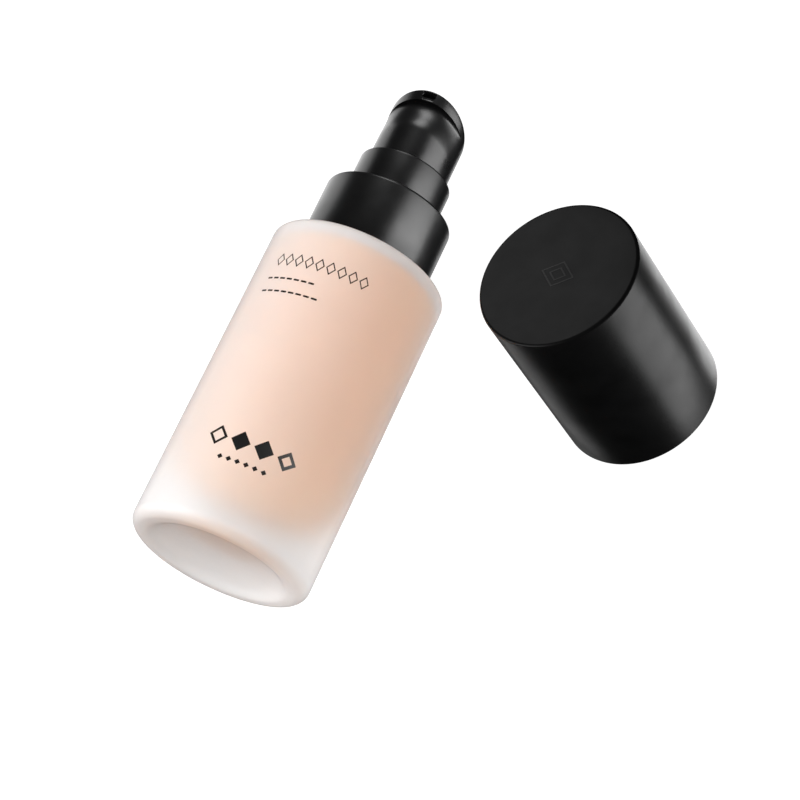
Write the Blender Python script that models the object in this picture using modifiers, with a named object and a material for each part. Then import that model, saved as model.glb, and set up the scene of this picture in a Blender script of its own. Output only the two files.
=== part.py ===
"""Foundation bottle with a treatment pump and a pull-off cap.

The bottle lies on its side and the cap stands on its mouth beside it. The bottle, pump and
content are drawn upright about a shared axis, then laid down by their parent empty.
Dimensions are in millimetres, and the meshes are in metres.
"""

import math

import bpy
from mathutils import Vector

MM = 0.001

# Glass bottle
BODY_RADIUS = 18.0
BODY_HEIGHT = 66.1
BASE_CORNER = 2.2
SHOULDER_CORNER = 1.0
PUSH_UP = 1.9
WALL = 3.5
FLOOR = 8.6
CAVITY_TOP = 63.6
NECK_RADIUS = 8.8
NECK_TOP = 75.0
BORE_RADIUS = 6.5

# Foundation
FILL_GAP = 0.3
FILL_TOP = 63.0

# Screw thread
PITCH = 3.175
THREAD_TURNS = 1.25
THREAD_START = 68.4
GLASS_CREST = 9.7
CLOSURE_CREST = 9.15
CLOSURE_BORE = 10.1
CLOSURE_RADIUS = 11.8

# Pump body
COLLAR_RADIUS = 13.15
COLLAR_BORE = 12.1
COLLAR_BOTTOM = 66.5
COLLAR_TOP = 80.9
GUIDE_RADIUS = 9.58
GUIDE_BORE = 8.55
GUIDE_TOP = 89.3
CHAMBER_RADIUS = 4.8
HOUSING_RADIUS = 6.0
TUBE_RADIUS = 1.9
TUBE_BORE = 1.3
TUBE_BOTTOM = 10.6

# Plunger and valve
STEM_RADIUS = 2.0
STEM_BORE = 1.2
SPRING_RADIUS = 3.35
SPRING_WIRE = 0.33
SPRING_TURNS = 5.5
BALL_RADIUS = 1.5
BALL_HEIGHT = 50.99

# Actuator
HEAD_RADIUS = 8.2
HEAD_BOTTOM = 85.8
HEAD_MIDDLE = 100.35
HEAD_SLANT = 4.3
LIP_MIDDLE = 98.6
LIP_SLANT = 3.2
SCOOP_DEPTH = 1.7
SCOOP_LENGTH = 6.5
SLOT_WIDTH = 2.8
SLOT_HEIGHT = 1.3
SLOT_DROP = 1.2

# Cap
CAP_RADIUS = 15.2
CAP_HEIGHT = 39.5
CAP_BORE = 14.3
CAP_TOP_WALL = 0.8
LINER_RADIUS = 14.0
LINER_BORE = 13.45

# Layout on the surface
ROUND_STEPS = 48
HALF_STEP = math.pi / ROUND_STEPS
REST_HEIGHT = BODY_RADIUS * math.cos(HALF_STEP)
CAP_ASIDE = 59.7
CAP_ALONG = 57.2
HEAD_TIP = 104.43
BOTTLE_X = -(CAP_ASIDE + CAP_RADIUS - REST_HEIGHT) / 2
BOTTLE_Y = -HEAD_TIP / 2
HEAD_TURN = math.radians(-68.6) - HALF_STEP

for old in list(bpy.data.objects):
    bpy.data.objects.remove(old, do_unlink=True)
for old in list(bpy.data.collections):
    bpy.data.collections.remove(old)

PARTS = bpy.data.collections.new("Foundation bottle")
CUTTERS = bpy.data.collections.new("Cutters")
bpy.context.scene.collection.children.link(PARTS)
bpy.context.scene.collection.children.link(CUTTERS)


def material(name, colour, roughness, metallic=0.0):
    """A Principled material with one colour."""
    made = bpy.data.materials.new(name)
    made.use_nodes = True
    shader = made.node_tree.nodes["Principled BSDF"]
    shader.inputs["Base Color"].default_value = (*colour, 1.0)
    shader.inputs["Roughness"].default_value = roughness
    shader.inputs["Metallic"].default_value = metallic
    made.diffuse_color = (*colour, 1.0)
    return made


def empty(name, location, rotation=(0.0, 0.0, 0.0), parent=None):
    """An axis marker that carries pieces, at a place in millimetres."""
    made = bpy.data.objects.new(name, None)
    made.empty_display_size = 0.01
    made.rotation_mode = "ZYX"
    made.location = Vector(location) * MM
    made.rotation_euler = rotation
    made.parent = parent
    PARTS.objects.link(made)
    return made


def add_mesh(name, points, edges, faces, parent, look=None):
    """Links a mesh as a named piece, or as a cutter when it has no look."""
    mesh = bpy.data.meshes.new(name)
    mesh.from_pydata([(x * MM, y * MM, z * MM) for x, y, z in points], edges, faces)
    made = bpy.data.objects.new(name, mesh)
    made.parent = parent
    if look is None:
        CUTTERS.objects.link(made)
        made.hide_render = True
        made.display_type = "WIRE"
    else:
        PARTS.objects.link(made)
        mesh.materials.append(look)
    return made


def turned(name, profile, parent, look=None, steps=ROUND_STEPS, closed=True):
    """A turned solid from (radius, height) points, down its outer side first."""
    points = [(radius, 0.0, height) for radius, height in profile]
    edges = [(i, i + 1) for i in range(len(points) - 1)]
    if closed:
        edges.append((len(points) - 1, 0))
    made = add_mesh(name, points, edges, [], parent, look)
    screw = made.modifiers.new("Turn", "SCREW")
    screw.axis = "Z"
    screw.angle = 2 * math.pi
    screw.steps = steps
    screw.render_steps = steps
    screw.use_merge_vertices = True
    screw.merge_threshold = 0.00001
    screw.use_smooth_shade = True
    return made


def arc(centre, radii, start, end, count):
    """Profile points on an arc of a circle or an ellipse, with angles in degrees."""
    points = []
    for i in range(count + 1):
        angle = math.radians(start + (end - start) * i / count)
        across = centre[0] + radii[0] * math.cos(angle)
        points.append((across, centre[1] + radii[1] * math.sin(angle)))
    return points


def boolean(piece, tool, operation):
    """Adds an exact Boolean with another object."""
    cut = piece.modifiers.new(operation.title(), "BOOLEAN")
    cut.operation = operation
    cut.solver = "EXACT"
    cut.object = tool


def thread_ridge(name, parent, inner, outer, start, inside):
    """A helical ridge with closed ends, narrow at its crest. An inside thread has its crest at inner."""
    root_half = 0.65
    crest_half = 0.4
    halves = (crest_half, root_half) if inside else (root_half, crest_half)
    count = int(THREAD_TURNS * 36)
    points = []
    for i in range(count + 1):
        angle = 2 * math.pi * THREAD_TURNS * i / count
        rise = start + PITCH * THREAD_TURNS * i / count
        for radius, half in ((inner, halves[0]), (outer, halves[1])):
            for side in (-1, 1):
                points.append((radius * math.cos(angle), radius * math.sin(angle), rise + side * half))
    faces = [(0, 2, 3, 1)]
    for i in range(count):
        a = 4 * i
        b = a + 4
        faces.append((a, b, b + 2, a + 2))
        faces.append((a + 2, b + 2, b + 3, a + 3))
        faces.append((a + 3, b + 3, b + 1, a + 1))
        faces.append((a + 1, b + 1, b, a))
    last = 4 * count
    faces.append((last, last + 1, last + 3, last + 2))
    return add_mesh(name, points, [], faces, parent)


def coil(name, parent, look, bottom, top):
    """A compression spring."""
    curve = bpy.data.curves.new(name, "CURVE")
    curve.dimensions = "3D"
    curve.bevel_depth = SPRING_WIRE * MM
    curve.bevel_resolution = 2
    curve.use_fill_caps = True
    spline = curve.splines.new("POLY")
    count = int(SPRING_TURNS * 12)
    spline.points.add(count)
    for i in range(count + 1):
        share = i / count
        angle = 2 * math.pi * SPRING_TURNS * share
        across = SPRING_RADIUS * MM
        height = (bottom + (top - bottom) * share) * MM
        spline.points[i].co = (across * math.cos(angle), across * math.sin(angle), height, 1.0)
    made = bpy.data.objects.new(name, curve)
    made.parent = parent
    curve.materials.append(look)
    PARTS.objects.link(made)


def scoop_rows(lip, depth):
    """Radii and heights of the face below the lip, from the skirt up to the recess."""
    length = min(SCOOP_LENGTH, lip - HEAD_BOTTOM - 1.0)
    rows = []
    for i in range(8):
        share = 1.0 - i / 7
        sink = depth * 0.5 * (1.0 + math.cos(math.pi * share))
        rows.append((HEAD_RADIUS - sink, lip - length * share))
    return rows


def head_rows(front):
    """One side of the actuator, bottom to top. front is 1 at the outlet and -1 behind it."""
    ahead = max(front, 0.0)
    lip = LIP_MIDDLE + LIP_SLANT * ahead + HEAD_SLANT * min(front, 0.0)
    depth = SCOOP_DEPTH * ahead ** 2
    top = HEAD_MIDDLE + HEAD_SLANT * front
    rows = [(HEAD_RADIUS, HEAD_BOTTOM)]
    rows += scoop_rows(lip - 0.15, depth)
    rows.append((HEAD_RADIUS - 0.55 * depth, lip - 0.02))
    rows.append((HEAD_RADIUS - 0.2 * depth, lip + 0.12))
    rows.append((HEAD_RADIUS, lip + 0.5))
    rows.append((HEAD_RADIUS, top - 0.55))
    rows.append((HEAD_RADIUS - 0.15, top - 0.22))
    for inset, drop in ((0.5, 0.05), (1.2, 0.0)):
        radius = HEAD_RADIUS - inset
        rows.append((radius, HEAD_MIDDLE + HEAD_SLANT * front * radius / HEAD_RADIUS - drop))
    return rows


def head_blank(name, parent, look):
    """The actuator's outer form: a slanted top, a rounded lip and the scoop below it."""
    columns = ROUND_STEPS
    points = []
    for column in range(columns):
        angle = 2 * math.pi * column / columns
        rows = head_rows(math.cos(angle))
        points += [(r * math.cos(angle), r * math.sin(angle), z) for r, z in rows]
    height = len(points) // columns
    faces = []
    for column in range(columns):
        after = (column + 1) % columns
        for row in range(height - 1):
            a = column * height + row
            b = after * height + row
            faces.append((a, b, b + 1, a + 1))
    faces.append(tuple(column * height + height - 1 for column in range(columns)))
    faces.append(tuple(column * height for column in reversed(range(columns))))
    return add_mesh(name, points, [], faces, parent, look)


def prism(name, parent, outline, start, direction, length):
    """An outline swept straight from a point along a direction in the head's X-Z plane."""
    along = Vector(direction).normalized()
    across = Vector((0.0, 1.0, 0.0))
    rise = across.cross(along)
    points = []
    for reach in (0.0, length):
        for y, z in outline:
            points.append(tuple(Vector(start) + along * reach + across * y + rise * z))
    count = len(outline)
    faces = [tuple(range(count)), tuple(reversed(range(count, 2 * count)))]
    for i in range(count):
        after = (i + 1) % count
        faces.append((i, i + count, after + count, after))
    return add_mesh(name, points, [], faces, parent)


def round_outline(radius, sides):
    """An outline for a round passage."""
    angles = [2 * math.pi * i / sides for i in range(sides)]
    return [(radius * math.cos(angle), radius * math.sin(angle)) for angle in angles]


def slot_outline():
    """An outline for the outlet: flat sides and round ends."""
    half = (SLOT_WIDTH - SLOT_HEIGHT) / 2
    outline = arc((half, 0.0), (SLOT_HEIGHT / 2, SLOT_HEIGHT / 2), -90, 90, 5)
    outline += arc((-half, 0.0), (SLOT_HEIGHT / 2, SLOT_HEIGHT / 2), 90, 270, 5)
    return outline


def cavity_wall(inset):
    """The bottle's inside from its floor up to the shoulder, or a face that far in from it."""
    radius = BODY_RADIUS - WALL - inset
    wall = [(0.0, FLOOR + inset)]
    wall += arc((4.5, 22.0), (9.6 - inset, 22.2 - FLOOR - inset), -90, 0, 7)
    wall += [(radius, 36.0), (radius, 61.2)]
    return wall


def bottle_profile():
    """The glass from its rim, down the outside, under the base and up the inside."""
    edge = BODY_RADIUS - SHOULDER_CORNER
    foot = BODY_RADIUS - BASE_CORNER
    profile = [(BORE_RADIUS, NECK_TOP - 0.4), (BORE_RADIUS + 0.4, NECK_TOP)]
    profile += [(NECK_RADIUS - 0.4, NECK_TOP), (NECK_RADIUS, NECK_TOP - 0.4), (NECK_RADIUS, 67.0)]
    profile += arc((9.6, 67.0), (0.8, 0.8), 180, 270, 2)[1:]
    profile += [(14.0, BODY_HEIGHT), (edge, BODY_HEIGHT - 0.3)]
    profile += arc((edge, BODY_HEIGHT - 1.5), (SHOULDER_CORNER, 1.2), 70, 0, 3)
    profile += arc((foot, BASE_CORNER), (BASE_CORNER, BASE_CORNER), 0, -90, 4)
    profile += [(14.6, 0.0), (13.7, 0.25), (12.6, 0.9), (9.5, 1.4), (5.0, 1.75), (0.0, PUSH_UP)]
    profile += cavity_wall(0.0)
    profile += arc((12.1, 61.2), (2.4, CAVITY_TOP - 61.2), 0, 90, 4)[1:]
    profile += [(7.3, CAVITY_TOP + 0.1), (BORE_RADIUS, CAVITY_TOP + 0.9)]
    return profile


def make_bottle(axis):
    """The glass bottle with its screw neck and the foundation in it."""
    glass = material("Frosted glass", (0.86, 0.80, 0.76), 0.5)
    cream = material("Foundation", (0.83, 0.58, 0.44), 0.45)
    bottle = turned("glass_bottle", bottle_profile(), axis, glass)
    ridge = thread_ridge("cut_glass_thread", axis, NECK_RADIUS - 0.4, GLASS_CREST, THREAD_START, False)
    boolean(bottle, ridge, "UNION")
    pump_room = HOUSING_RADIUS + FILL_GAP
    tube_room = TUBE_RADIUS + 0.4
    top = FILL_TOP
    profile = [(pump_room, top), (12.1, top), (13.3, 62.7)]
    profile += list(reversed(cavity_wall(FILL_GAP)))
    profile += [(0.0, TUBE_BOTTOM - 0.3), (tube_room, TUBE_BOTTOM - 0.3), (tube_room, 39.5)]
    profile += [(3.6, 39.5), (3.6, 47.0), (pump_room, 48.2)]
    turned("foundation_fill", profile, axis, cream, steps=36)


def make_closure(axis):
    """The inner screw closure and the collar shell pressed over it."""
    black = material("Collar plastic", (0.012, 0.012, 0.013), 0.42)
    inner = material("Closure plastic", (0.03, 0.03, 0.032), 0.5)
    edge = CLOSURE_RADIUS
    profile = [(7.9, 79.0), (edge - 0.4, 79.0), (edge, 78.6), (edge, 66.9), (CLOSURE_BORE, 66.9)]
    profile += [(CLOSURE_BORE, 77.9), (7.9, 77.9)]
    closure = turned("screw_closure", profile, axis, inner)
    start = THREAD_START + PITCH / 2
    ridge = thread_ridge("cut_closure_thread", axis, CLOSURE_CREST, CLOSURE_BORE + 0.5, start, True)
    boolean(closure, ridge, "UNION")
    hole = GUIDE_RADIUS + 0.3
    profile = [(hole, COLLAR_TOP)]
    profile += arc((COLLAR_RADIUS - 0.6, COLLAR_TOP - 0.6), (0.6, 0.6), 90, 0, 3)
    profile += [(COLLAR_RADIUS, COLLAR_BOTTOM + 0.2), (COLLAR_RADIUS - 0.2, COLLAR_BOTTOM)]
    profile += [(COLLAR_BORE, COLLAR_BOTTOM), (COLLAR_BORE, 79.8), (hole, 79.8)]
    turned("collar_shell", profile, axis, black)


def make_pump_body(axis):
    """The parts of the pump that stay still while the head is pressed."""
    clear = material("Pump polypropylene", (0.78, 0.79, 0.78), 0.4)
    foam = material("Gasket foam", (0.75, 0.75, 0.72), 0.8)
    black = material("Guide ring plastic", (0.012, 0.012, 0.013), 0.4)
    socket = TUBE_RADIUS + 0.3
    profile = [(CHAMBER_RADIUS, 77.6), (9.3, 77.6), (9.3, 76.6), (HOUSING_RADIUS, 76.6)]
    profile += [(HOUSING_RADIUS, 48.6), (3.3, 47.3), (3.3, 39.8), (socket, 39.8), (socket, 47.8)]
    profile += [(1.1, 47.8), (1.1, 49.5), (2.2, 50.8), (2.2, 53.0), (CHAMBER_RADIUS, 53.0)]
    turned("pump_housing", profile, axis, clear, steps=28)
    profile = [(BORE_RADIUS, 76.3), (NECK_RADIUS, 76.3), (NECK_RADIUS, 75.3), (BORE_RADIUS, 75.3)]
    turned("neck_gasket", profile, axis, foam, steps=28)
    profile = [(TUBE_BORE, 47.5), (TUBE_RADIUS, 47.5), (TUBE_RADIUS, TUBE_BOTTOM), (TUBE_BORE, TUBE_BOTTOM)]
    turned("dip_tube", profile, axis, clear, steps=16)
    profile = [(GUIDE_BORE, GUIDE_TOP)]
    profile += arc((GUIDE_RADIUS - 0.4, GUIDE_TOP - 0.4), (0.4, 0.4), 90, 0, 2)
    profile += [(GUIDE_RADIUS, 79.3), (7.6, 79.3), (7.6, 77.9), (4.5, 77.9), (4.5, 71.4)]
    profile += [(STEM_RADIUS + 0.3, 71.4), (STEM_RADIUS + 0.3, 80.3), (GUIDE_BORE, 80.3)]
    turned("guide_ring", profile, axis, black, steps=40)


def make_plunger(axis):
    """The piston and spring that the head pushes, and the inlet valve's ball."""
    seal = material("Piston polyethylene", (0.82, 0.83, 0.84), 0.45)
    steel = material("Spring steel", (0.62, 0.62, 0.62), 0.25, 1.0)
    bore = STEM_RADIUS + 0.3
    profile = [(bore, 71.1), (3.6, 71.1), (3.6, 69.8), (4.5, 70.6), (4.5, 69.6), (3.6, 68.4)]
    profile += [(3.6, 66.4), (4.5, 65.2), (4.5, 64.2), (3.6, 64.6), (bore, 64.6)]
    turned("piston_seal", profile, axis, seal, steps=24)
    coil("return_spring", axis, steel, 53.7, 62.1)
    profile = arc((0.0, BALL_HEIGHT), (BALL_RADIUS, BALL_RADIUS), 90, -90, 8)
    profile[0] = (0.0, profile[0][1])
    profile[-1] = (0.0, profile[-1][1])
    turned("inlet_ball", profile, axis, steel, steps=16, closed=False)


def make_head(axis):
    """The actuator that is pressed, with its passage and outlet, and the stem it sits on."""
    black = material("Actuator plastic", (0.012, 0.012, 0.013), 0.35)
    clear = material("Stem polypropylene", (0.78, 0.79, 0.78), 0.4)
    head = empty("actuator_axis", (0.0, 0.0, 0.0), (0.0, 0.0, HEAD_TURN), axis)
    actuator = head_blank("actuator", head, black)
    profile = [(3.6, 92.2), (6.6, 92.2), (7.1, 91.6), (7.1, 85.0), (3.6, 85.0)]
    boolean(actuator, turned("cut_skirt", profile, head, steps=36), "DIFFERENCE")
    bore = STEM_RADIUS + 0.3
    profile = [(0.0, 99.5), (1.05, 99.5), (1.05, 97.4), (bore, 97.4), (bore, 85.0), (0.0, 85.0)]
    boolean(actuator, turned("cut_socket", profile, head, steps=16, closed=False), "DIFFERENCE")
    slope = HEAD_SLANT / HEAD_RADIUS
    along = (1.0, 0.0, slope)
    base = HEAD_MIDDLE - SLOT_DROP
    inner = (-0.35, 0.0, base - 0.35 * slope)
    passage = prism("cut_passage", head, round_outline(0.6, 14), inner, along, 8.0)
    boolean(actuator, passage, "DIFFERENCE")
    near = (5.6, 0.0, base + 5.6 * slope)
    outlet = prism("cut_outlet", head, slot_outline(), near, along, 5.0)
    boolean(actuator, outlet, "DIFFERENCE")
    profile = [(STEM_BORE, 97.1), (STEM_RADIUS, 97.1), (STEM_RADIUS, 64.3), (3.9, 64.3)]
    profile += [(3.9, 62.8), (STEM_BORE, 62.8)]
    turned("stem", profile, head, clear, steps=16)


def make_cap(axis):
    """The pull-off cap: an outer shell and the sleeve that grips the collar."""
    black = material("Cap plastic", (0.012, 0.012, 0.013), 0.4)
    inner = material("Cap liner plastic", (0.03, 0.03, 0.032), 0.5)
    ceiling = CAP_HEIGHT - CAP_TOP_WALL
    profile = [(0.0, CAP_HEIGHT)]
    profile += arc((CAP_RADIUS - 0.7, CAP_HEIGHT - 0.7), (0.7, 0.7), 90, 0, 3)
    profile += [(CAP_RADIUS, 0.25), (CAP_RADIUS - 0.2, 0.0), (CAP_BORE + 0.2, 0.0), (CAP_BORE, 0.25)]
    profile += [(CAP_BORE, ceiling - 0.3), (CAP_BORE - 0.3, ceiling), (0.0, ceiling)]
    turned("cap_shell", profile, axis, black, closed=False)
    profile = [(LINER_BORE, 30.0), (LINER_RADIUS, 30.0), (LINER_RADIUS, 1.0), (LINER_RADIUS - 0.2, 1.0)]
    profile += [(LINER_BORE, 1.5)]
    turned("cap_liner", profile, axis, inner)


def shade_round():
    """Smooth shading with sharp edges kept, on every mesh piece."""
    for piece in PARTS.objects:
        if piece.type == "MESH":
            piece.data.shade_smooth()
            piece.data.set_sharp_from_angle(angle=math.radians(30))


bottle_axis = empty("bottle_axis", (BOTTLE_X, BOTTLE_Y, REST_HEIGHT), (-math.pi / 2, 0.0, HALF_STEP))
cap_axis = empty("cap_axis", (BOTTLE_X + CAP_ASIDE, BOTTLE_Y + CAP_ALONG, 0.0))
make_bottle(bottle_axis)
make_closure(bottle_axis)
make_pump_body(bottle_axis)
make_plunger(bottle_axis)
make_head(bottle_axis)
make_cap(cap_axis)
shade_round()
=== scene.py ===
"""Look of the foundation bottle: frosted glass, peach foundation, satin black pump and cap."""

import math

import bpy
from mathutils import Matrix, Vector


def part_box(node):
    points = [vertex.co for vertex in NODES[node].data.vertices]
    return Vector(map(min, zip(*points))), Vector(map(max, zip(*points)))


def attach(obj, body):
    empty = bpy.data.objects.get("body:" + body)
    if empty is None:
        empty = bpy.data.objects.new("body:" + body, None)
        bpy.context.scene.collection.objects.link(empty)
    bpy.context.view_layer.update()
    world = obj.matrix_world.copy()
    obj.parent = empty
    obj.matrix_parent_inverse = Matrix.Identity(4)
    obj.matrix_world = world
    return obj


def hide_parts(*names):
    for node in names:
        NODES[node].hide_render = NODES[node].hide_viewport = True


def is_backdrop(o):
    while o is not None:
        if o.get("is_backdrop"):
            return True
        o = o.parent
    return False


MM = 0.001

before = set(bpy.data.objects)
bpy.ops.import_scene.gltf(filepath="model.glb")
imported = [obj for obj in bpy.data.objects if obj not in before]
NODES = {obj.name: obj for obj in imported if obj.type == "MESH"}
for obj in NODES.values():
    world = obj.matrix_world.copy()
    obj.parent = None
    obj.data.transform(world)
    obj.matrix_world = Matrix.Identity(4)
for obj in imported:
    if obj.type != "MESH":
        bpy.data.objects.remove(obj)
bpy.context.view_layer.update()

# The bottle's own axes, read off the CAD: local +Z runs from the base to the pump.
glass_low, glass_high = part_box("glass_bottle")
cap_low, cap_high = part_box("cap_shell")
BOTTLE_BASE = Vector((
    (glass_low[0] + glass_high[0]) / 2,
    glass_low[1],
    (glass_low[2] + glass_high[2]) / 2,
))
CAP_BASE = Vector(((cap_low[0] + cap_high[0]) / 2, (cap_low[1] + cap_high[1]) / 2, 0.0))
LAID_DOWN = Matrix.Translation(BOTTLE_BASE) @ Matrix.Rotation(-math.pi / 2, 4, "X")
STANDING = Matrix.Translation(CAP_BASE)

# Sizes in millimetres, close to the CAD model's
BODY_RADIUS = 18.0
COLLAR_RADIUS = 13.15
GUIDE_RADIUS = 9.58
HEAD_RADIUS = 8.2
HEAD_BOTTOM = 85.8
HEAD_MIDDLE = 100.4
HEAD_SLANT = 4.45
LIP_MIDDLE = 98.6
LIP_SLANT = 3.7
SCOOP_DEPTH = 1.15
LIP_FILLET = 0.8
SCOOP_LENGTH = 6.5
HEAD_ROUND = 0.35
SKIRT_RADIUS = 7.1
SKIRT_TOP = 91.6
HEAD_TURN = math.radians(-68.6)
OUTLET_DROP = 1.15
OUTLET_FLOOR = 7.35
OUTLET_HALF_FLAT = 0.8
OUTLET_HALF_HEIGHT = 0.62
CAP_RADIUS = 15.2
CAP_BORE = 14.3
CAP_HEIGHT = 39.5
INK_LIFT = 0.015

# The stage and the camera, in metres, with the lens in mm
FLOOR_REACH = 4.0
WORLD_STRENGTH = 0.45
BACKDROP_STRENGTH = 1.0
LENS_MM = 118.8
CAMERA_FROM_BASE = Vector((0.30414, -0.14862, 0.35682))

# Colours, each as a dark and a light end
GLASS_TINTS = ((0.775, 0.785, 0.795), (0.805, 0.815, 0.825))
CREAM_TINTS = ((0.73, 0.345, 0.105), (0.76, 0.365, 0.12))
BLACK = ((0.005, 0.005, 0.0052), (0.008, 0.008, 0.0083))


# ---------------------------------------------------------------- meshes


def place(obj, look, body, matrix, old=()):
    """Links a new piece in the row frame, on its body, in place of CAD nodes."""
    obj.data.materials.append(look)
    bpy.context.scene.collection.objects.link(obj)
    obj.matrix_world = matrix
    bpy.context.view_layer.update()
    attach(obj, body)
    if old:
        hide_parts(*old)
    return obj


def make_object(name, points, faces, crease=35):
    """A smooth-shaded object from points in mm."""
    mesh = bpy.data.meshes.new(name)
    mesh.from_pydata([(x * MM, y * MM, z * MM) for x, y, z in points], [], faces)
    mesh.validate()
    mesh.shade_smooth()
    mesh.set_sharp_from_angle(angle=math.radians(crease))
    return bpy.data.objects.new(name, mesh)


def lathe(name, profile, steps, closed=True, crease=35):
    """A turned mesh from (radius, height) points in mm, down its outer side first."""
    points = []
    faces = []
    rings = []
    for radius, height in profile:
        if radius < 1e-6:
            rings.append([len(points)])
            points.append((0.0, 0.0, height))
            continue
        ring = []
        for i in range(steps):
            angle = 2 * math.pi * i / steps
            ring.append(len(points))
            points.append((radius * math.cos(angle), radius * math.sin(angle), height))
        rings.append(ring)
    pairs = [(i, i + 1) for i in range(len(rings) - 1)]
    if closed and len(rings[0]) > 1 and len(rings[-1]) > 1:
        pairs.append((len(rings) - 1, 0))
    for a, b in pairs:
        upper, lower = rings[a], rings[b]
        if len(upper) == 1 and len(lower) == 1:
            continue
        for i in range(steps):
            j = (i + 1) % steps
            if len(upper) == 1:
                faces.append((upper[0], lower[i], lower[j]))
            elif len(lower) == 1:
                faces.append((upper[i], lower[0], upper[j]))
            else:
                faces.append((upper[i], lower[i], lower[j], upper[j]))
    return make_object(name, points, faces, crease)


def oval(centre, radii, start, end, count):
    """Points in mm on an arc of an ellipse, with angles in degrees."""
    points = []
    for i in range(count + 1):
        angle = math.radians(start + (end - start) * i / count)
        across = centre[0] + radii[0] * math.cos(angle)
        points.append((across, centre[1] + radii[1] * math.sin(angle)))
    return points


# ---------------------------------------------------------------- materials


def new_material(name):
    """A material with its node tree and its Principled shader."""
    made = bpy.data.materials.new(name)
    made.use_nodes = True
    tree = made.node_tree
    return made, tree, tree.nodes["Principled BSDF"]


def noise(tree, scale, detail=3.0, roughness=0.55, stretch=(1.0, 1.0, 1.0)):
    """Object-space noise, with a scale in waves per metre."""
    coords = tree.nodes.new("ShaderNodeTexCoord")
    mapping = tree.nodes.new("ShaderNodeMapping")
    mapping.inputs["Scale"].default_value = stretch
    texture = tree.nodes.new("ShaderNodeTexNoise")
    texture.inputs["Scale"].default_value = scale
    texture.inputs["Detail"].default_value = detail
    texture.inputs["Roughness"].default_value = roughness
    tree.links.new(coords.outputs["Object"], mapping.inputs["Vector"])
    tree.links.new(mapping.outputs["Vector"], texture.inputs["Vector"])
    return texture.outputs["Fac"]


def ramp(tree, source, low, high, start=0.3, end=0.7):
    """Maps a 0 to 1 value onto a range of numbers."""
    mapped = tree.nodes.new("ShaderNodeMapRange")
    mapped.inputs["From Min"].default_value = start
    mapped.inputs["From Max"].default_value = end
    mapped.inputs["To Min"].default_value = low
    mapped.inputs["To Max"].default_value = high
    tree.links.new(source, mapped.inputs["Value"])
    return mapped.outputs["Result"]


def blend_colours(tree, factor, first, second):
    """A colour between two, by a factor."""
    mix = tree.nodes.new("ShaderNodeMix")
    mix.data_type = "RGBA"
    mix.inputs["A"].default_value = (*first, 1.0)
    mix.inputs["B"].default_value = (*second, 1.0)
    tree.links.new(factor, mix.inputs["Factor"])
    return mix.outputs["Result"]


def bump(tree, shader, height, strength, distance):
    """Feeds a height into the shader's normal."""
    node = tree.nodes.new("ShaderNodeBump")
    node.inputs["Strength"].default_value = strength
    node.inputs["Distance"].default_value = distance
    tree.links.new(height, node.inputs["Height"])
    tree.links.new(node.outputs["Normal"], shader.inputs["Normal"])


def moulded(name, dark, light, rough, grain=3500.0, strength=0.12):
    """Moulded plastic: a fine texture, and slow changes in its gloss."""
    made, tree, shader = new_material(name)
    colour = blend_colours(tree, ramp(tree, noise(tree, 160.0), 0.0, 1.0), dark, light)
    tree.links.new(colour, shader.inputs["Base Color"])
    gloss = ramp(tree, noise(tree, 220.0, 4.0), rough - 0.03, rough + 0.03)
    tree.links.new(gloss, shader.inputs["Roughness"])
    bump(tree, shader, noise(tree, grain, 2.0), strength, 0.00002)
    return made


def frosted_glass():
    """Acid-etched clear glass: rough, clear inside, with a fine satin tooth, and painted edge shade:
    grey mixed into its colour where the surface is seen edge-on.
    """
    made, tree, shader = new_material("Frosted glass look")
    tint = blend_colours(tree, ramp(tree, noise(tree, 60.0), 0.0, 1.0), *GLASS_TINTS)
    # Painted edge shade: the colour turns grey where the surface faces away from the view.
    rim = tree.nodes.new("ShaderNodeLayerWeight")
    edge = tree.nodes.new("ShaderNodeMix")
    edge.data_type = "RGBA"
    edge.inputs["B"].default_value = (0.56, 0.56, 0.58, 1.0)
    tree.links.new(ramp(tree, rim.outputs["Facing"], 0.0, 1.0, 0.62, 0.95), edge.inputs["Factor"])
    tree.links.new(tint, edge.inputs["A"])
    tree.links.new(edge.outputs["Result"], shader.inputs["Base Color"])
    gloss = ramp(tree, noise(tree, 900.0, 3.0), 0.53, 0.61)
    tree.links.new(gloss, shader.inputs["Roughness"])
    shader.inputs["Transmission Weight"].default_value = 0.58
    shader.inputs["IOR"].default_value = 1.5
    bump(tree, shader, noise(tree, 4000.0, 2.0), 0.08, 0.00002)
    return made


def foundation_cream():
    """Thick liquid foundation against the glass."""
    made, tree, shader = new_material("Foundation look")
    skin = blend_colours(tree, ramp(tree, noise(tree, 45.0, 2.0), 0.0, 1.0), *CREAM_TINTS)
    tree.links.new(skin, shader.inputs["Base Color"])
    shader.inputs["Roughness"].default_value = 0.5
    shader.inputs["Subsurface Weight"].default_value = 0.25
    shader.inputs["Subsurface Radius"].default_value = (0.004, 0.002, 0.0012)
    return made


def metal(name, colour, rough):
    """Drawn steel."""
    made, tree, shader = new_material(name)
    darker = [c * 0.9 for c in colour]
    tint = blend_colours(tree, ramp(tree, noise(tree, 900.0), 0.0, 1.0), colour, darker)
    tree.links.new(tint, shader.inputs["Base Color"])
    shader.inputs["Metallic"].default_value = 1.0
    gloss = ramp(tree, noise(tree, 2500.0), rough - 0.05, rough + 0.05)
    tree.links.new(gloss, shader.inputs["Roughness"])
    return made


def repaint(node, look):
    """Gives a CAD node a better material."""
    for item in NODES[node].material_slots:
        item.material = look


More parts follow.
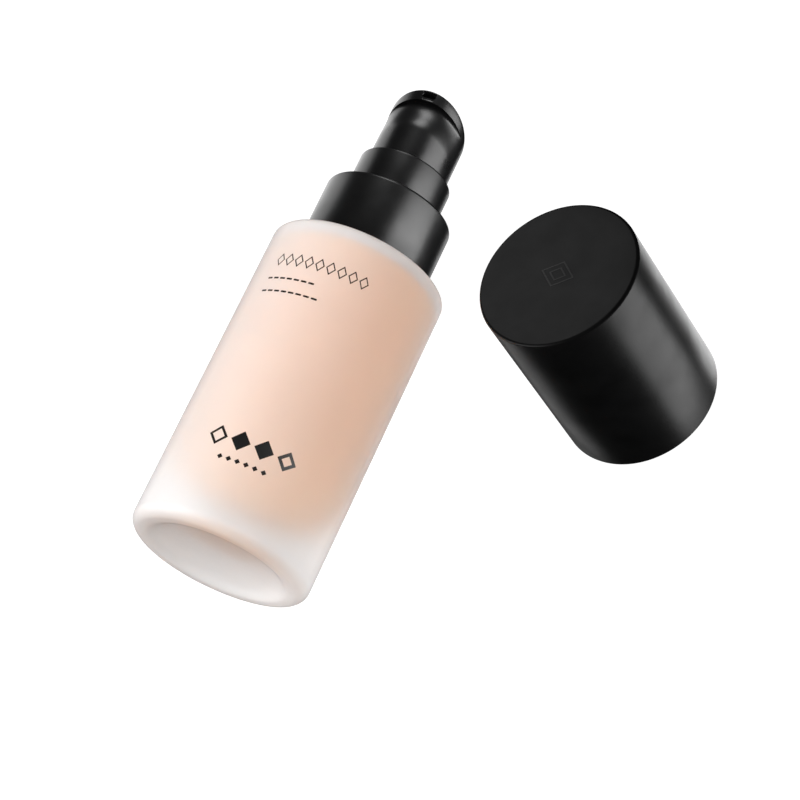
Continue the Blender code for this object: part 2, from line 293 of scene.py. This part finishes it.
pump_black = moulded("Pump plastic", *BLACK, 0.32)
head_black = moulded("Actuator plastic look", *BLACK, 0.3)
cap_black = moulded("Cap plastic look", *BLACK, 0.34)
# The raised emblem is real relief, but its lighter black than the cap's is a painted highlight, so the
# mark reads as catching light.
emblem_painted_highlight = moulded("Cap emblem look", (0.03, 0.03, 0.03), (0.045, 0.045, 0.045), 0.3)
inner_black = moulded("Inner black plastic", (0.02, 0.02, 0.021), (0.03, 0.03, 0.031), 0.5)
natural = moulded("Natural polypropylene", (0.74, 0.75, 0.74), (0.82, 0.83, 0.82), 0.38)
foam = moulded("Gasket foam look", (0.66, 0.66, 0.63), (0.80, 0.80, 0.77), 0.8, 1800.0, 0.5)
ink = moulded("Printed ink", (0.006, 0.006, 0.006), (0.012, 0.012, 0.012), 0.45, 6000.0, 0.05)
# Painted shade: a near-black material with no reflection, standing in for the darkness deep inside the
# outlet hole.
bore_painted_shade = moulded("Painted bore shade", (0.0008, 0.0008, 0.0008), (0.0015, 0.0015, 0.0015), 0.9)
bore_painted_shade.node_tree.nodes["Principled BSDF"].inputs["Specular IOR Level"].default_value = 0.0
steel = metal("Spring steel look", (0.62, 0.62, 0.62), 0.25)

for node in ("screw_closure", "cap_liner"):
    repaint(node, inner_black)
for node in ("pump_housing", "dip_tube", "stem", "piston_seal"):
    repaint(node, natural)
for node in ("return_spring", "inlet_ball"):
    repaint(node, steel)
repaint("neck_gasket", foam)

# ---------------------------------------------------------------- glass and foundation

profile = [(6.5, 74.6), (6.62, 74.88), (6.9, 75.0), (8.4, 75.0), (8.68, 74.88), (8.8, 74.6), (8.8, 67.0)]
profile += oval((9.6, 67.0), (0.8, 0.8), 180, 270, 5)[1:]
profile += [(12.0, 66.15), (14.5, 66.05)]
profile += oval((17.0, 64.9), (1.0, 1.15), 78, 0, 10)
profile += [(BODY_RADIUS, height) for height in (60.0, 40.0, 20.0, 6.0)]
profile += oval((15.8, 2.2), (2.2, 2.2), 0, -90, 12)
profile += [(15.0, 0.0), (14.6, 0.0), (14.2, 0.06), (13.7, 0.25), (13.1, 0.55), (12.4, 0.85)]
profile += [(11.0, 1.15), (9.0, 1.42), (6.0, 1.68), (3.0, 1.84), (0.0, 1.9)]
profile += [(0.0, 8.9)]
profile += oval((3.6, 25.0), (9.9, 16.1), -90, 0, 20)
profile += [(13.75, 32.0), (13.9, 38.0), (14.1, 47.0)]
profile += oval((12.8, 63.6), (1.4, 1.4), 0, 90, 8)
profile += [(7.6, 65.0), (6.75, 65.3), (6.5, 65.9)]
bottle = lathe("frosted_bottle", profile, 128)
place(bottle, frosted_glass(), "bottle", LAID_DOWN, ["glass_bottle"])

profile = [(6.4, 64.7)]
profile += oval((12.8, 63.6), (1.42, 1.42), 70, 0, 8)
profile += [(14.12, 47.0), (13.92, 38.0), (13.77, 32.0)]
profile += oval((3.6, 25.0), (9.92, 16.12), 0, -90, 20)
profile += [(0.0, 8.88), (0.0, 10.3), (2.3, 10.3), (2.3, 39.5)]
profile += [(3.6, 39.5), (3.6, 47.0), (6.4, 48.2)]
cream = lathe("foundation_content", profile, 96)
place(cream, foundation_cream(), "bottle", LAID_DOWN, ["foundation_fill"])


# ---------------------------------------------------------------- printed marks


def on_glass(angle, height, lift):
    """A point just proud of the glass, from an angle in degrees and a height in mm."""
    turn = math.radians(angle)
    radius = BODY_RADIUS + lift
    return (radius * math.cos(turn), radius * math.sin(turn), height)


def print_strips(name, strips):
    """Ink on the glass. Each strip is a list of (angle, low height, high height) across its width."""
    points = []
    faces = []
    for strip in strips:
        start = len(points)
        for angle, low, high in strip:
            points.append(on_glass(angle, low, INK_LIFT))
            points.append(on_glass(angle, high, INK_LIFT))
        for i in range(len(strip) - 1):
            a = start + 2 * i
            faces.append((a, a + 2, a + 3, a + 1))
    return place(make_object(name, points, faces), ink, "bottle", LAID_DOWN)


def dash(start, end, low, high):
    """A bar with rounded ends."""
    middle = (low + high) / 2
    half = (high - low) / 2
    per_mm = math.degrees(1.0 / BODY_RADIUS)
    strip = []
    for i in range(7):
        turn = math.radians(90 * i / 6)
        tall = half * math.sin(turn)
        strip.append((start + half * per_mm * (1 - math.cos(turn)), middle - tall, middle + tall))
    count = max(2, int((end - start) / 2))
    inner_start = start + half * per_mm
    inner_end = end - half * per_mm
    for i in range(1, count):
        strip.append((inner_start + (inner_end - inner_start) * i / count, low, high))
    for i in range(7):
        turn = math.radians(90 * i / 6)
        tall = half * math.cos(turn)
        strip.append((inner_end + half * per_mm * math.sin(turn), middle - tall, middle + tall))
    return strip


def lozenge(middle, height, wide, tall):
    """A solid diamond."""
    strip = []
    for i in range(13):
        share = -1 + 2 * i / 12
        reach = tall / 2 * (1 - abs(share))
        strip.append((middle + share * wide / 2, height - reach, height + reach))
    return strip


def open_lozenge(middle, height, wide, tall, inside):
    """A diamond outline, as an upper and a lower strip. inside is the opening's share of the diamond."""
    upper = []
    lower = []
    shares = sorted({-1.0, 1.0, -inside, inside} | {-1 + i / 12 for i in range(25)})
    for share in shares:
        outer = tall / 2 * (1 - abs(share))
        inner = tall / 2 * max(0.0, inside - abs(share))
        upper.append((middle + share * wide / 2, height + inner, height + outer))
        lower.append((middle + share * wide / 2, height - outer, height - inner))
    return [upper, lower]


def row(start, step, count):
    """The angles of evenly spaced marks, in degrees."""
    return [start + step * i for i in range(count)]


strips = []
for angle in row(-101.6, 7.25, 9):
    strips += open_lozenge(angle, 56.15, 6.3, 2.9, 0.72)
print_strips("print_upper_lozenges", strips)
strips = [dash(angle, angle + 3.9, 51.75, 52.15) for angle in row(-105.0, 5.1, 7)]
strips += [dash(angle, angle + 4.0, 48.85, 49.25) for angle in row(-105.0, 5.2, 8)]
print_strips("print_fine_dashes", strips)
strips = open_lozenge(-83.0, 17.45, 12.5, 4.1, 0.66)
strips += [lozenge(-68.2, 17.45, 12.5, 4.1), lozenge(-53.4, 17.45, 12.5, 4.1)]
strips += open_lozenge(-38.6, 17.45, 12.5, 4.1, 0.55)
print_strips("print_lozenges", strips)
strips = [lozenge(angle, 13.45, 3.6, 1.1) for angle in row(-76.0, 5.6, 6)]
print_strips("print_small_lozenges", strips)

# ---------------------------------------------------------------- pump

profile = [(9.88, 80.9), (12.5, 80.9)]
profile += oval((12.5, 80.25), (0.65, 0.65), 80, 0, 8)
profile += [(COLLAR_RADIUS, 74.0), (COLLAR_RADIUS, 66.75), (13.1, 66.6), (12.95, 66.5)]
profile += [(12.1, 66.5), (12.1, 79.8), (9.88, 79.8)]
collar = lathe("pump_collar", profile, 128)
place(collar, pump_black, "closure", LAID_DOWN, ["collar_shell"])

profile = [(8.55, 89.1), (8.6, 89.25), (8.75, 89.3), (9.15, 89.3)]
profile += oval((9.15, 88.87), (0.43, 0.43), 75, 0, 6)
profile += [(GUIDE_RADIUS, 84.0), (GUIDE_RADIUS, 79.3), (7.6, 79.3), (7.6, 77.9), (4.5, 77.9)]
profile += [(4.5, 71.4), (2.3, 71.4), (2.3, 80.3), (8.55, 80.3)]
guide = lathe("pump_guide", profile, 112)
place(guide, pump_black, "pump_unit", LAID_DOWN, ["guide_ring"])


def head_side(front):
    """One side of the actuator, bottom to top. front is 1 at the outlet and -1 behind it."""
    ahead = max(front, 0.0)
    lip = LIP_MIDDLE + LIP_SLANT * ahead + HEAD_SLANT * min(front, 0.0)
    depth = SCOOP_DEPTH * ahead**2
    length = min(SCOOP_LENGTH, lip - HEAD_BOTTOM - 1.0)
    rows = [(HEAD_RADIUS, HEAD_BOTTOM + 0.2)]
    for i in range(19):
        share = 1.0 - i / 18
        sink = depth * 0.5 * (1.0 + math.cos(math.pi * share))
        rows.append((HEAD_RADIUS - sink, lip - LIP_FILLET - (length - LIP_FILLET) * share))
    for i in range(1, 10):
        turn = math.radians(10 * i)
        level = lip - LIP_FILLET * (1 - math.sin(turn)) + 0.05 * i / 9
        rows.append((HEAD_RADIUS - depth * math.cos(turn), level))
    top = HEAD_MIDDLE + HEAD_SLANT * front
    rows.append((HEAD_RADIUS, lip + 0.5 * (top - lip)))
    for i in range(7):
        turn = math.radians(90 * i / 6)
        radius = HEAD_RADIUS - HEAD_ROUND * (1 - math.cos(turn))
        slope = HEAD_SLANT * front * (radius - HEAD_RADIUS) / HEAD_RADIUS
        rows.append((radius, top - HEAD_ROUND + HEAD_ROUND * math.sin(turn) + slope))
    for radius in (7.0, 5.5, 4.0, 2.0):
        rows.append((radius, HEAD_MIDDLE + HEAD_SLANT * front * radius / HEAD_RADIUS))
    return rows


def actuator_mesh():
    """The actuator's outer skin, a slanted finger pad over a scooped front, with its skirt's inside."""
    columns = 144
    sides = []
    for column in range(columns):
        angle = 2 * math.pi * column / columns
        rows = [(SKIRT_RADIUS, SKIRT_TOP), (SKIRT_RADIUS, HEAD_BOTTOM), (HEAD_RADIUS - 0.2, HEAD_BOTTOM)]
        rows += head_side(math.cos(angle))
        turn = angle + HEAD_TURN
        sides.append([(r * math.cos(turn), r * math.sin(turn), z) for r, z in rows])
    height = len(sides[0])
    points = [spot for side in sides for spot in side]
    faces = []
    for column in range(columns):
        after = (column + 1) % columns
        for row in range(height - 1):
            a = column * height + row
            b = after * height + row
            faces.append((a, b, b + 1, a + 1))
    top = len(points)
    points.append((0.0, 0.0, HEAD_MIDDLE))
    bottom = len(points)
    points.append((0.0, 0.0, SKIRT_TOP))
    for column in range(columns):
        after = (column + 1) % columns
        faces.append((column * height + height - 1, after * height + height - 1, top))
        faces.append((after * height, column * height, bottom))
    return make_object("pump_actuator", points, faces, 40)


def outlet_solid(name, start, reach, half_height):
    """A slot's shape at the lip, that runs along the slant. start and reach are in mm from the axis."""
    turn = Matrix.Rotation(HEAD_TURN, 4, "Z")
    along = Vector((1.0, 0.0, HEAD_SLANT / HEAD_RADIUS)).normalized()
    across = Vector((0.0, 1.0, 0.0))
    rise = across.cross(along)
    ends = (half_height, half_height)
    outline = oval((OUTLET_HALF_FLAT, 0.0), ends, -90, 90, 10)
    outline += oval((-OUTLET_HALF_FLAT, 0.0), ends, 90, 270, 10)
    base = Vector((start, 0.0, HEAD_MIDDLE - OUTLET_DROP + start * HEAD_SLANT / HEAD_RADIUS))
    points = []
    for share in (0.0, reach):
        for y, z in outline:
            points.append(tuple(turn @ (base + along * share + across * y - rise * z)))
    count = len(outline)
    faces = [tuple(reversed(range(count))), tuple(range(count, 2 * count))]
    for i in range(count):
        after = (i + 1) % count
        faces.append((i, after, after + count, i + count))
    return make_object(name, points, faces)


def cut_outlet(solid):
    """Cuts the outlet slot into the actuator's mesh."""
    cutter = outlet_solid("outlet_cutter", OUTLET_FLOOR, 3.0, OUTLET_HALF_HEIGHT)
    bpy.context.scene.collection.objects.link(cutter)
    cutter.matrix_world = LAID_DOWN
    cut = solid.modifiers.new("Outlet", "BOOLEAN")
    cut.operation = "DIFFERENCE"
    cut.solver = "EXACT"
    cut.object = cutter
    bpy.context.view_layer.update()
    graph = bpy.context.evaluated_depsgraph_get()
    carved = bpy.data.meshes.new_from_object(solid.evaluated_get(graph))
    solid.modifiers.remove(cut)
    solid.data = carved
    bpy.data.objects.remove(cutter, do_unlink=True)


actuator = actuator_mesh()
place(actuator, head_black, "pump_head", LAID_DOWN, ["actuator"])
cut_outlet(actuator)
# A dark plug just proud of the slot's floor: painted shade where the deep outlet hole would be dark.
shade_plug = outlet_solid("outlet_painted_shade", OUTLET_FLOOR + 0.01, 0.65, OUTLET_HALF_HEIGHT - 0.02)
place(shade_plug, bore_painted_shade, "pump_head", LAID_DOWN)

# ---------------------------------------------------------------- cap

profile = [(radius, CAP_HEIGHT) for radius in (0.0, 3.0, 8.0, 12.0, 14.6)]
profile += oval((14.6, 38.9), (0.6, 0.6), 80, 0, 8)
profile += [(CAP_RADIUS, 30.0), (CAP_RADIUS, 15.0), (CAP_RADIUS, 0.35), (15.1, 0.1), (14.9, 0.0)]
profile += [(14.6, 0.0), (14.4, 0.1), (CAP_BORE, 0.35), (CAP_BORE, 38.3), (14.0, 38.7), (0.0, 38.7)]
cap = lathe("cap_outer", profile, 144, closed=False)
place(cap, cap_black, "cap", STANDING, ["cap_shell"])


def raised_lozenge(name, wide, tall, line, low, high):
    """A thin raised diamond outline on the cap's top, in mm."""
    points = []
    for level, grow in ((low, 0.06), (high, 0.0)):
        for edge in (line / 2 + grow, -line / 2 - grow):
            reach = edge * math.hypot(wide, tall)
            half_wide = wide / 2 + reach / tall
            half_tall = tall / 2 + reach / wide
            points += [(half_wide, 0.0, level), (0.0, half_tall, level)]
            points += [(-half_wide, 0.0, level), (0.0, -half_tall, level)]
    faces = []
    for i in range(4):
        j = (i + 1) % 4
        faces.append((i, j, j + 8, i + 8))
        faces.append((j + 4, i + 4, i + 12, j + 12))
        faces.append((i + 8, j + 8, j + 12, i + 12))
        faces.append((j, i, i + 4, j + 4))
    turn = Matrix.Rotation(math.radians(-6), 4, "Z")
    return make_object(name, [tuple(turn @ Vector(point)) for point in points], faces)


for name, share in (("cap_outer_lozenge", 1.0), ("cap_inner_lozenge", 0.5)):
    wide, tall = 6.6 * share, 5.2 * share
    emblem = raised_lozenge(name, wide, tall, 0.2, CAP_HEIGHT - 0.02, CAP_HEIGHT + 0.07)
    place(emblem, emblem_painted_highlight, "cap", STANDING)

# ---------------------------------------------------------------- stage, lights, camera


def pale_floor():
    """A plain white floor, far larger than the view."""
    mesh = bpy.data.meshes.new("studio_floor")
    corners = [(x * FLOOR_REACH, y * FLOOR_REACH, 0) for x, y in ((-1, -1), (1, -1), (1, 1), (-1, 1))]
    mesh.from_pydata(corners, [], [(0, 1, 2, 3)])
    floor = bpy.data.objects.new("studio_floor", mesh)
    made, tree, shader = new_material("Studio white")
    shader.inputs["Base Color"].default_value = (0.3, 0.3, 0.3, 1.0)
    shader.inputs["Roughness"].default_value = 0.9
    shader.inputs["Specular IOR Level"].default_value = 0.0
    shader.inputs["Emission Color"].default_value = (1.0, 1.0, 1.0, 1.0)
    shader.inputs["Emission Strength"].default_value = 1.0
    mesh.materials.append(made)
    bpy.context.scene.collection.objects.link(floor)
    floor.location.z = -0.0001
    floor.visible_diffuse = False
    floor.visible_glossy = False
    floor.visible_transmission = False
    floor.visible_shadow = False
    floor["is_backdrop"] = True


def receivers(name, pieces):
    """A collection of the pieces that a light falls on."""
    group = bpy.data.collections.new(name)
    for piece in pieces:
        group.objects.link(piece)
    return group


def softbox(name, around, above, size, power, lit, lean=0, shadow=False):
    """A soft light 1 m away, given in degrees round the camera's up axis and above its horizon.

    A light that leans has its far end turned up, by that many degrees.
    """
    around, above = math.radians(around), math.radians(above)
    out = RIGHT * math.sin(around) + TOWARD * math.cos(around)
    spot = CENTRE + out * math.cos(above) + UP * math.sin(above)
    data = bpy.data.lights.new(name, "AREA")
    data.shape = "RECTANGLE"
    data.size, data.size_y = size
    data.energy = power
    data.use_shadow = shadow
    lamp = bpy.data.objects.new(name, data)
    bpy.context.scene.collection.objects.link(lamp)
    back = (spot - CENTRE).normalized()
    side = UP.cross(back).normalized()
    facing = Matrix((side, back.cross(side), back)).transposed().to_4x4()
    lamp.matrix_world = Matrix.Translation(spot) @ facing @ Matrix.Rotation(math.radians(lean), 4, "Z")
    lamp.visible_camera = False
    lamp.light_linking.receiver_collection = lit


pale_floor()
CENTRE = Vector((0.0, 0.0, 0.02))
RIGHT = Vector((0.81144, 0.39284, -0.43272)).normalized()
TOWARD = Vector((0.57206, -0.38231, 0.72566)).normalized()
UP = TOWARD.cross(RIGHT).normalized()

meshes = [o for o in bpy.context.scene.objects if o.type == "MESH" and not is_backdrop(o)]
clear = [o for o in meshes if o.name in ("frosted_bottle", "foundation_content")]
cap_pieces = [o for o in meshes if o.name.startswith("cap_")]
pump_pieces = [o for o in meshes if o not in clear and o not in cap_pieces]
glass_lit = receivers("lit_glass", clear)
shell_lit = receivers("lit_shell", [bottle])
pump_lit = receivers("lit_pump", pump_pieces)
cap_lit = receivers("lit_cap", cap_pieces)

softbox("glass_left", -68, 12, (0.7, 0.6), 8.5, shell_lit)
softbox("glass_side", -74, 12, (0.7, 0.6), 7.5, shell_lit, shadow=True)
softbox("glass_front", 16, 0, (0.7, 0.6), 5.5, glass_lit)
softbox("pump_right", 68, 12, (1.15, 0.35), 10.5, pump_lit, -32)
softbox("pump_left", -140, 24, (1.2, 0.5), 3.6, pump_lit, 35)
softbox("pump_rim", 160, -6, (0.25, 0.3), 0.3, pump_lit)
softbox("pump_above", 40, 80, (0.4, 0.4), 3.2, pump_lit)
softbox("cap_right", 104, -20, (0.55, 0.7), 2.8, cap_lit)
softbox("cap_rim", 154, 8, (0.5, 0.3), 1.0, cap_lit)
softbox("cap_left", -160, -25, (0.5, 0.4), 0.3, cap_lit)
softbox("cap_above", -85, 52, (0.8, 0.4), 0.55, cap_lit)
softbox("cap_edge", -75, -18, (0.9, 0.3), 1.6, cap_lit)

world = bpy.data.worlds.new("Studio")
bpy.context.scene.world = world
world.use_nodes = True
world.node_tree.nodes["Background"].inputs["Color"].default_value = (1.0, 1.0, 1.0, 1.0)
seen = world.node_tree.nodes.new("ShaderNodeLightPath").outputs["Is Camera Ray"]
strength = ramp(world.node_tree, seen, WORLD_STRENGTH, BACKDROP_STRENGTH, 0.0, 1.0)
world.node_tree.links.new(strength, world.node_tree.nodes["Background"].inputs["Strength"])
world.cycles_visibility.glossy = False

lens = bpy.data.cameras.new("Camera")
lens.lens = LENS_MM
lens.sensor_width = 36.0
lens.clip_start = 0.01
camera = bpy.data.objects.new("Camera", lens)
bpy.context.scene.collection.objects.link(camera)
turned = Matrix((RIGHT, UP, TOWARD)).transposed().to_4x4()
camera.matrix_world = Matrix.Translation(BOTTLE_BASE + CAMERA_FROM_BASE) @ turned
bpy.context.scene.camera = camera
bpy.context.scene.view_settings.view_transform = "Standard"
